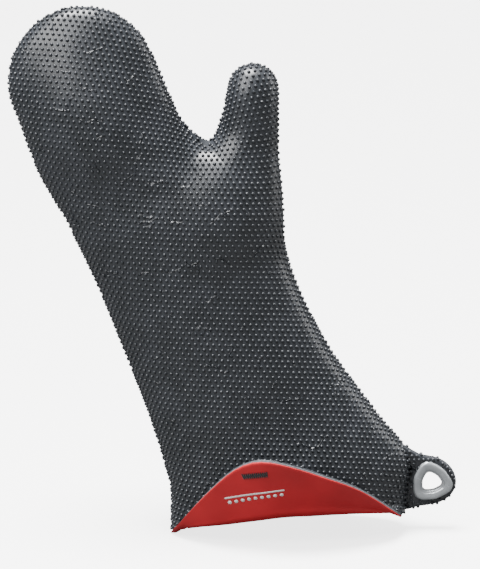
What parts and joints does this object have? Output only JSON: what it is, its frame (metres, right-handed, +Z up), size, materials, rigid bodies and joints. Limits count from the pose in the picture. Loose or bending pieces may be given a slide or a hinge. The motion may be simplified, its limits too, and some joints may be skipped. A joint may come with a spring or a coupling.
{
  "type": "oven mitt",
  "caption": "Long gauntlet oven mitt with a separate thumb, nubbed rubber outside, cloth lining, rolled cuff and a hanging eyelet, standing on its cuff.",
  "frame": {"origin": "middle of the bounding box at floor level, where the cut edge of the cuff stands", "axes": "+Z up, +X towards the hanging eyelet, +Y from the front panel with the rolled cuff towards the back panel"},
  "size_m": [0.3512, 0.1182, 0.4106],
  "materials": {
    "nubbed_rubber": "satin black rubber with raised nubs",
    "foam_edge": "cut edge of closed cell foam",
    "red_lining": "smooth knitted lining",
    "seam_tape": "bound seam allowance",
    "eyelet_plastic": "silver grey moulded plastic",
    "black_thread": "zigzag stitches",
    "white_print": "flat heat transfer print"
  },
  "bodies": {
    "root": {"front_shell": "nubbed_rubber", "front_core": "foam_edge", "front_lining": "red_lining", "back_shell": "nubbed_rubber", "back_core": "foam_edge", "back_lining": "red_lining", "seam_binding": "seam_tape", "hang_tab": "nubbed_rubber", "eyelet_front": "eyelet_plastic", "eyelet_back": "eyelet_plastic", "label_bartack": "black_thread", "printed_mark": "white_print"}
  },
  "joints": []
}
